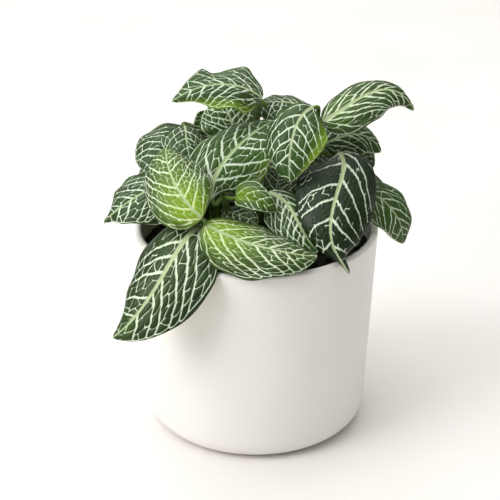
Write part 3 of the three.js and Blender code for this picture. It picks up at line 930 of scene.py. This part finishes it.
    def paint(self):
        """Colour of each vertex: vein, lime, green brightness with painted light and shade, midrib.
        """
        look = self.look
        s, _, t = self.blade.across(*np.array(self.flat).T)
        vein, mid, shade = np.array(self.ink).T
        lime = look["lime"] + (look["lime_tip"] - look["lime"]) * smooth(0, LIME_LENGTH, s)
        lime = lime * (1 - LIME_FADE * smooth(LIME_CORE, 1, np.abs(t)))
        edge = np.where(t < 0, *look["edge"]) * smooth(*EDGE_BAND, np.abs(t))
        # How bright the green is: each leaf's own colour with painted light and shade (lighter for
        # leaves that catch sheen, darker for leaves in shade), plus a small random change per cell.
        tone = look["tone"] + CELL_SHADE * shade
        return np.stack([vein, np.maximum(lime, edge), tone, mid], axis=1)

    def points(self):
        places, normals = self.blade.place(*np.array(self.flat).T)
        return places + normals * np.array(self.rise)[:, None]


# Meshes

NO_PAINT = (0, 0, 0, 1)


class Shape:
    """A mesh in the making: points with paint, and patches that are laid out side by side."""

    def __init__(self):
        self.points, self.paint, self.patches = [], [], []
        self.count = 0

    def add_points(self, points, paint):
        first = self.count
        self.points.append(np.asarray(points, float))
        self.paint.append(np.broadcast_to(np.asarray(paint, float), (len(points), 4)))
        self.count += len(points)
        return first

    def add_patch(self, first, faces, spread, material, spread_faces=None):
        """Faces index points from first on; spread_faces index the flat places in spread."""
        kept, flat = [], []
        for face, laid in zip(faces, spread_faces or faces):
            clean = distinct(face)
            if len(clean) > 2:
                kept.append(tuple(v + first for v in clean))
                flat.extend(laid[i] for i, v in enumerate(face) if v != face[i - 1])
        self.patches.append((kept, np.asarray(spread, float)[flat], material))

    def add_grid(self, rows, paint, material):
        """A closed surface through rings of points. Returns the end rings' vertices."""
        rows = np.asarray(rows, float)
        high, wide = rows.shape[:2]
        first = self.add_points(rows.reshape(-1, 3), paint)
        along = np.linalg.norm(np.diff(rows, axis=0), axis=2).mean(1)
        around = np.linalg.norm(np.roll(rows, -1, axis=1) - rows, axis=2).mean(0)
        spread = [(u, v) for v in running_total(along) for u in running_total(around)]
        faces, laid = [], []
        for i in range(high - 1):
            for j in range(wide):
                k = (j + 1) % wide
                faces.append((i * wide + j, i * wide + k, (i + 1) * wide + k, (i + 1) * wide + j))
                low, up = i * (wide + 1) + j, (i + 1) * (wide + 1) + j
                laid.append((low, low + 1, up + 1, up))
        self.add_patch(first, faces, spread, material, laid)
        last = first + (high - 1) * wide
        return list(range(first, first + wide)), list(range(last, last + wide))

    def add_cap(self, ring, centre, paint, material):
        """Closes a ring of vertices with a fan to a centre point."""
        tip = self.add_points([centre], paint)
        places = np.concatenate(self.points)[ring]
        angles = circle(len(ring))
        radius = np.linalg.norm(places - np.array(centre), axis=1)
        spread = np.stack([radius * np.cos(angles), radius * np.sin(angles)], axis=1)
        spread = np.concatenate([spread, [[0, 0]]])
        count = len(ring)
        faces = [(ring[i], ring[(i + 1) % count], tip) for i in range(count)]
        laid = [(i, (i + 1) % count, count) for i in range(count)]
        self.add_patch(0, faces, spread, material, laid)

    def add_tube(self, path, radii, sides, paint, material):
        """A round tube along a path with domed ends."""
        path = np.asarray(path, float)
        heading = unit(np.gradient(path, axis=0))
        side = unit(np.cross(heading[0], TUBE_SEAM))
        angles = circle(sides)
        rows = []
        for point, ahead, radius in zip(path, heading, radii):
            side = unit(side - ahead * (side @ ahead))
            other = np.cross(ahead, side)
            ring = np.cos(angles)[:, None] * side + np.sin(angles)[:, None] * other
            rows.append(point + radius * ring)
        first, last = self.add_grid(rows, paint, material)
        start = path[0] - heading[0] * radii[0] * TUBE_DOMES[0]
        end = path[-1] + heading[-1] * radii[-1] * TUBE_DOMES[1]
        self.add_cap(first[::-1], start, paint, material)
        self.add_cap(last, end, paint, material)

    def packed(self):
        """Offsets and one scale that lay all patches side by side in the unit square."""
        lows = [spread.min(0) for _, spread, _ in self.patches]
        sizes = [spread.max(0) - low for (_, spread, _), low in zip(self.patches, lows)]
        order = sorted(range(len(sizes)), key=lambda i: -sizes[i][1])
        side = math.sqrt(sum(w * h for w, h in sizes)) + PATCH_ROOM
        while True:
            margin = side * PATCH_MARGIN
            offsets, x, y, row = {}, margin, margin, 0
            for i in order:
                w, h = sizes[i]
                if x + w + margin > side:
                    x, y, row = margin, y + row + margin, 0
                offsets[i] = np.array([x, y]) - lows[i]
                x, row = x + w + margin, max(row, h)
            if y + row + margin <= side and max(w for w, h in sizes) + 2 * margin <= side:
                return [offsets[i] for i in range(len(sizes))], 1 / side
            side *= PATCH_GROWTH

    def build(self, name, finishes):
        """A Blender object in metres with its materials, paint and texture map."""
        mesh = bpy.data.meshes.new(name)
        faces = [face for kept, _, _ in self.patches for face in kept]
        mesh.from_pydata(np.concatenate(self.points) * MM, [], faces)
        materials = [m for kept, _, m in self.patches for _ in kept]
        mesh.polygons.foreach_set("material_index", materials)
        mesh.polygons.foreach_set("use_smooth", [True] * len(faces))
        paint = mesh.color_attributes.new("paint", "FLOAT_COLOR", "POINT")
        paint.data.foreach_set("color", np.concatenate(self.paint).ravel())
        shifts, scale = self.packed()
        places = [(spread + shift) * scale for (_, spread, _), shift in zip(self.patches, shifts)]
        layout = mesh.uv_layers.new(name="OFBake")
        layout.data.foreach_set("uv", np.concatenate(places).ravel())
        for finish in finishes:
            mesh.materials.append(finish)
        mesh.update()
        return linked(name, mesh)


def linked(name, data):
    """An object with its data, in the scene."""
    thing = bpy.data.objects.new(name, data)
    bpy.context.collection.objects.link(thing)
    return thing


def stand_for(piece, node):
    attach(piece, "root")
    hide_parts(node)


# Materials

class Wire:
    """A shader socket that can be added, multiplied and compared like a number."""

    def __init__(self, finish, socket):
        self.finish, self.socket = finish, socket

    def math(self, operation, *values):
        return self.finish.add("Math", {"operation": operation}, dict(enumerate(values)))

    def __add__(self, other):
        return self.math("ADD", self, other)

    def __sub__(self, other):
        return self.math("SUBTRACT", self, other)

    def __rsub__(self, other):
        return self.math("SUBTRACT", other, self)

    def __mul__(self, other):
        return self.math("MULTIPLY", self, other)

    __radd__, __rmul__ = __add__, __mul__

    def swing(self, reach):
        """Noise around 0 instead of around a half."""
        return (self - 0.5) * reach

    def above(self, low, high):
        """0 below low and 1 above high, with a soft step between."""
        settings = {"interpolation_type": "SMOOTHSTEP"}
        return self.finish.add("MapRange", settings, {0: self, 1: low, 2: high})


class Finish:
    """A material in the making."""

    def __init__(self, name):
        self.material = bpy.data.materials.new(name)
        self.material.use_nodes = True
        self.tree = self.material.node_tree
        self.tree.nodes.clear()

    def add(self, kind, settings, sockets, out=0):
        """A node of a kind, with its settings first and then its sockets' values or links."""
        node = self.tree.nodes.new("ShaderNode" + kind)
        for name, value in settings.items():
            setattr(node, name, value)
        for name, value in sockets.items():
            if isinstance(value, Wire):
                self.tree.links.new(value.socket, node.inputs[name])
            else:
                node.inputs[name].default_value = value
        if isinstance(out, int):
            return Wire(self, node.outputs[out])
        return [Wire(self, node.outputs[i]) for i in out]

    def grain(self, scale, detail=2.0):
        """Noise over the object's own space, scale in waves a metre."""
        place = self.add("TexCoord", {}, {}, out=3)
        return self.add("TexNoise", {}, {"Vector": place, "Scale": scale, "Detail": detail})

    def mix(self, share, a, b):
        """A colour between a and b."""
        return self.add("Mix", {"data_type": "RGBA"}, {0: share, 6: a, 7: b}, out=2)

    def bump(self, height, distance, strength):
        return self.add("Bump", {}, {"Height": height, "Distance": distance, "Strength": strength})

    def finished(self, sockets):
        surface = self.add("BsdfPrincipled", {}, sockets)
        self.add("OutputMaterial", {}, {"Surface": surface}, out=())
        return self.material


def colour(red, green, blue):
    """A screen colour from 0 to 255 as Blender's linear colour."""
    shares = [c / 255 for c in (red, green, blue)]
    return (*[c / 12.92 if c < 0.0404 else ((c + 0.055) / 1.055) ** 2.4 for c in shares], 1.0)


DEEP_GREEN = colour(16, 38, 4)
MID_GREEN = colour(55, 86, 27)
LIME = colour(126, 162, 24)
VEIN_WHITE = colour(210, 224, 200)
VEIN_LIME = colour(205, 222, 150)
MIDRIB = colour(174, 192, 142)
UNDER_GREEN = colour(104, 130, 46)
UNDER_DARK = colour(84, 110, 34)
UNDER_VEIN = colour(180, 196, 120)
STALK_GREEN = colour(96, 126, 48)
STALK_DARK = colour(66, 88, 32)
GLAZE = colour(238, 235, 231), colour(241, 239, 235)
# Soil browns: the soil's own dark brown, made darker still as painted shade of the soil lying in
# the pot under the leaves.
SOIL_BROWNS_AND_SHADE = colour(28, 21, 15), colour(50, 37, 27)
SOIL_FLECK = colour(112, 88, 62)
FLOOR_GREYS = colour(236, 232, 227), colour(240, 237, 233)


def leaf_top_finish():
    f = Finish("leaf_top")
    paint, midrib = f.add("Attribute", {"attribute_name": "paint"}, {}, out=(0, 3))
    vein, lime, tone = f.add("SeparateColor", {}, {0: paint}, out=(0, 1, 2))
    cloud = f.grain(60, detail=3)
    speck = f.grain(1900)
    # Brightness of the green carries painted light and shade: leaves that catch sheen are painted
    # lighter, leaves in shade darker.
    share = (tone + cloud.swing(0.7) + speck.swing(0.3)).above(0, 1)
    green = f.mix(share, DEEP_GREEN, MID_GREEN)
    green = f.mix((lime + cloud.swing(0.25) * lime).above(0, 1), green, LIME)
    pale = f.mix(lime, VEIN_WHITE, VEIN_LIME)
    mask = vein.above(0.1, 0.95)
    return f.finished({
        "Base Color": f.mix(mask, green, f.mix(midrib, pale, MIDRIB)),
        "Roughness": 0.4 + 0.12 * mask + speck.swing(0.16),
        "Normal": f.bump(speck, 0.00012, 0.5),
        "Specular IOR Level": 0.31,
        "Subsurface Weight": 0.06,
        "Subsurface Radius": (0.6, 1.0, 0.2),
        "Subsurface Scale": 0.001,
    })


def leaf_under_finish():
    f = Finish("leaf_underside")
    paint = f.add("Attribute", {"attribute_name": "paint"}, {})
    vein = f.add("SeparateColor", {}, {0: paint})
    cloud = f.grain(90, detail=3)
    speck = f.grain(1500)
    green = f.mix(cloud.above(0.3, 0.7), UNDER_GREEN, UNDER_DARK)
    return f.finished({
        "Base Color": f.mix(vein.above(0.3, 1.0) * 0.8, green, UNDER_VEIN),
        "Roughness": 0.5 + speck.swing(0.2),
        "Normal": f.bump(speck, 0.00015, 0.5),
    })


def stalk_finish():
    f = Finish("stalk")
    cloud = f.grain(120, detail=3)
    hair = f.grain(2600)
    return f.finished({
        "Base Color": f.mix(cloud.above(0.3, 0.7), STALK_GREEN, STALK_DARK),
        "Roughness": 0.5 + hair.swing(0.3),
        "Normal": f.bump(hair, 0.0002, 0.6),
    })


def pot_finish():
    f = Finish("white_glaze")
    cloud = f.grain(14)
    speck = f.grain(700)
    return f.finished({
        "Base Color": f.mix(cloud.above(0.3, 0.7), *GLAZE),
        "Roughness": 0.34 + cloud.swing(0.1) + speck.swing(0.06),
        "Normal": f.bump(cloud * 0.7 + speck * 0.04, 0.0004, 0.25),
    })


def soil_finish():
    f = Finish("potting_soil")
    clod = f.grain(260, detail=4)
    speck = f.grain(1700, detail=3)
    # These browns hold painted shade: the soil is darker than its own colour, as if it lay in the
    # pot's shade.
    dark = f.mix(clod.above(0.35, 0.65), *SOIL_BROWNS_AND_SHADE)
    return f.finished({
        "Base Color": f.mix(speck.above(0.66, 0.72) * 0.7, dark, SOIL_FLECK),
        "Roughness": 0.9 - speck * 0.15,
        "Normal": f.bump(speck * 0.5 + clod, 0.0006, 0.7),
    })


def floor_finish():
    f = Finish("floor")
    cloud = f.grain(6, detail=3)
    return f.finished({
        "Base Color": f.mix(cloud.above(0.3, 0.7), *FLOOR_GREYS),
        "Roughness": 0.6 + cloud.swing(0.1),
    })


# Pot and soil

def outer_radius(z):
    return FOOT_RADIUS + (RIM_RADIUS - FOOT_RADIUS) * z / POT_HEIGHT


def arc(centre, radius, start, end):
    angles = np.radians(np.linspace(start, end, ARC_STEPS + 1))
    return [(centre[0] + radius * math.cos(a), centre[1] + radius * math.sin(a)) for a in angles]


def lathe_rows(profile, segments):
    angles = circle(segments)
    return [[(r * math.cos(a), r * math.sin(a), z) for a in angles] for r, z in profile]


def make_pot(finish):
    lip = WALL / 2
    top = POT_HEIGHT - lip
    bottom = FLOOR + INNER_ROUNDING
    heights = np.linspace(FOOT_ROUNDING, top, WALL_STEPS)
    inside = np.linspace(top, bottom, WALL_STEPS)
    foot = outer_radius(FOOT_ROUNDING) - FOOT_ROUNDING, FOOT_ROUNDING
    corner = outer_radius(bottom) - WALL - INNER_ROUNDING, bottom
    profile = arc(foot, FOOT_ROUNDING, -90, 0)
    profile += [(outer_radius(z), z) for z in heights[1:-1]]
    profile += arc((outer_radius(top) - lip, top), lip, 0, 180)
    profile += [(outer_radius(z) - WALL, z) for z in inside[1:-1]]
    profile += arc(corner, INNER_ROUNDING, 0, -90)
    shape = Shape()
    first, last = shape.add_grid(lathe_rows(profile, POT_SEGMENTS), NO_PAINT, 0)
    shape.add_cap(first[::-1], (0, 0, 0), NO_PAINT, 0)
    shape.add_cap(last, (0, 0, FLOOR), NO_PAINT, 0)
    stand_for(shape.build("pot_glazed", [finish]), "pot")


def soil_height(x, y):
    a, b, c = SOIL_WAVES
    waves = SOIL_BUMP * (math.cos(a * x) * math.cos(b * y) + math.sin(c * (x + y)))
    place = Vector((x * LUMP_SCALE, y * LUMP_SCALE, LUMP_PLACE))
    return SOIL_LEVEL + waves + SOIL_LUMPS * noise.fractal(place, *LUMP_NOISE)


def crumb_mould(subdivisions):
    ball = bmesh.new()
    bmesh.ops.create_icosphere(ball, subdivisions=subdivisions, radius=1)
    points = np.array([v.co[:] for v in ball.verts])
    faces = [tuple(v.index for v in face.verts) for face in ball.faces]
    ball.free()
    return points, faces


def add_crumb(shape, mould, centre, size, rng):
    points, faces = mould
    axis = Vector((rng.gauss(0, 1), rng.gauss(0, 1), 1))
    spin = Matrix.Rotation(rng.uniform(0, math.tau), 3, axis)
    stretch = np.array([rng.uniform(*limits) for limits in CRUMB_STRETCH])
    offset = Vector((rng.uniform(0, NOISE_ROOM), rng.uniform(0, NOISE_ROOM), 0))
    lumps = np.array([noise.noise(Vector(p) * CRUMB_LUMP_SCALE + offset) for p in points])
    body = points * (1 + CRUMB_LUMPS * lumps)[:, None] * stretch * size
    first = shape.add_points(body @ np.array(spin).T + centre, NO_PAINT)
    return [tuple(v + first for v in face) for face in faces]


def make_soil(finish):
    edge = outer_radius(SOIL_LEVEL) - WALL - SOIL_GAP
    bottom = HOLE_FLOOR - SOIL_BELOW_HOLES
    heights = bottom, SOIL_LEVEL - SOIL_EDGE
    walls = [(outer_radius(z) - WALL - SOIL_GAP, z) for z in heights]
    rows = lathe_rows(walls, SOIL_SEGMENTS)
    rings = [(edge * i / SOIL_RINGS, 0) for i in range(SOIL_RINGS, 0, -1)]
    for ring in lathe_rows(rings, SOIL_SEGMENTS):
        rows.append([(x, y, soil_height(x, y)) for x, y, _ in ring])
    shape = Shape()
    first, last = shape.add_grid(rows, NO_PAINT, 0)
    shape.add_cap(first[::-1], (0, 0, bottom), NO_PAINT, 0)
    shape.add_cap(last, (0, 0, soil_height(0, 0)), NO_PAINT, 0)
    add_crumbs(shape, edge)
    stand_for(shape.build("soil_crumbs", [finish]), "soil")


def add_crumbs(shape, edge):
    """Crumbs strewn over the soil, up to edge from its middle."""
    rng = random.Random(SEED)
    fine, coarse = crumb_mould(2), crumb_mould(1)
    faces = []
    for _ in range(CRUMBS):
        share = rng.random() ** CRUMB_SIZE_POWER
        size = CRUMB_SIZE[0] + (CRUMB_SIZE[1] - CRUMB_SIZE[0]) * share
        r, a = (edge - size * CRUMB_INSET) * math.sqrt(rng.random()), rng.uniform(0, math.tau)
        x, y = r * math.cos(a), r * math.sin(a)
        centre = np.array([x, y, soil_height(x, y) + size * rng.uniform(*CRUMB_RISE)])
        faces += add_crumb(shape, fine if size > FINE_CRUMB else coarse, centre, size, rng)
    shape.add_patch(0, faces, np.concatenate(shape.points)[:, :2] * CRUMB_SPREAD, 0)


# Leafy stems

def stem_path(foot, bend, top):
    heights = HOLE_FLOOR, SOIL_LEVEL - STRAIGHT_BELOW, SOIL_LEVEL + STRAIGHT_ABOVE
    return Sweep([(*foot, z) for z in heights] + [bend, top], 0.5)


def add_stalk(shape, stem, look, blade):
    points, normals = blade.place(np.array([0, STALK_UNDER_BLADE]) * blade.length, np.zeros(2))
    base, end = points - normals * STALK_SINK
    heading = blade.tangent(np.zeros(1))[0]
    start = stem.at(look["start"])
    reach = STALK_REACH * np.linalg.norm(base - start)
    path = Sweep([start, base - heading * reach, base, end], 1).steps(STALK_STEPS)
    radii = np.linspace(*STALK_RADIUS, STALK_STEPS)
    shape.add_tube(path, radii, STALK_SIDES, (0, look["lime"], 0, 1), 2)


def make_stem(name, number, finishes):
    shape = Shape()
    stem = stem_path(*STEMS[name])
    radii = np.linspace(*STEM_RADIUS, STEM_STEPS)
    shape.add_tube(stem.steps(STEM_STEPS), radii, STEM_SIDES, NO_PAINT, 2)
    for i, look in enumerate(LEAVES[name]):
        net = BladeNet(look, SEED + SEED_STEP * number + i)
        first = shape.add_points(net.points(), net.paint())
        shape.add_patch(first, net.top, net.flat, 0)
        shape.add_patch(first, net.under, np.array(net.flat) * UNDER_SPREAD, 1)
        add_stalk(shape, stem, look, net.blade)
    piece = shape.build("leafy_stem_" + name, finishes)
    stand_for(piece, "stem_" + name)


# Scene

def make_floor(finish):
    mesh = bpy.data.meshes.new("floor")
    half = FLOOR_SIZE / 2
    corners = [(-half, -half, 0), (half, -half, 0), (half, half, 0), (-half, half, 0)]
    mesh.from_pydata(corners, [], [(0, 1, 2, 3)])
    mesh.materials.append(finish)
    linked("floor", mesh)


def aim(thing, target):
    thing.rotation_euler = (Vector(target) - thing.location).to_track_quat("-Z", "Y").to_euler()


def make_camera():
    lens = bpy.data.cameras.new("camera")
    lens.lens = CAMERA_LENS
    lens.sensor_width = SENSOR
    camera = linked("camera", lens)
    camera.location = CAMERA_PLACE
    aim(camera, CAMERA_TARGET)
    bpy.context.scene.camera = camera


def make_lights():
    for name, light in LIGHTS.items():
        lamp = bpy.data.lights.new(name, "AREA")
        lamp.shape = "RECTANGLE"
        lamp.size, lamp.size_y = light["size"]
        lamp.energy = light["power"]
        holder = linked(name, lamp)
        holder.location = light["place"]
        aim(holder, light.get("target", LIGHT_TARGET))
    world = bpy.data.worlds.new("studio")
    world.use_nodes = True
    backdrop = world.node_tree.nodes["Background"]
    backdrop.inputs["Color"].default_value = colour(*WORLD_COLOUR)
    backdrop.inputs["Strength"].default_value = WORLD_LIGHT
    bpy.context.scene.world = world


make_camera()
make_lights()
bpy.context.scene.view_settings.view_transform = "Standard"
make_floor(floor_finish())
make_pot(pot_finish())
make_soil(soil_finish())
stem_finishes = [leaf_top_finish(), leaf_under_finish(), stalk_finish()]
for number, name in enumerate(STEMS):
    make_stem(name, number, stem_finishes)
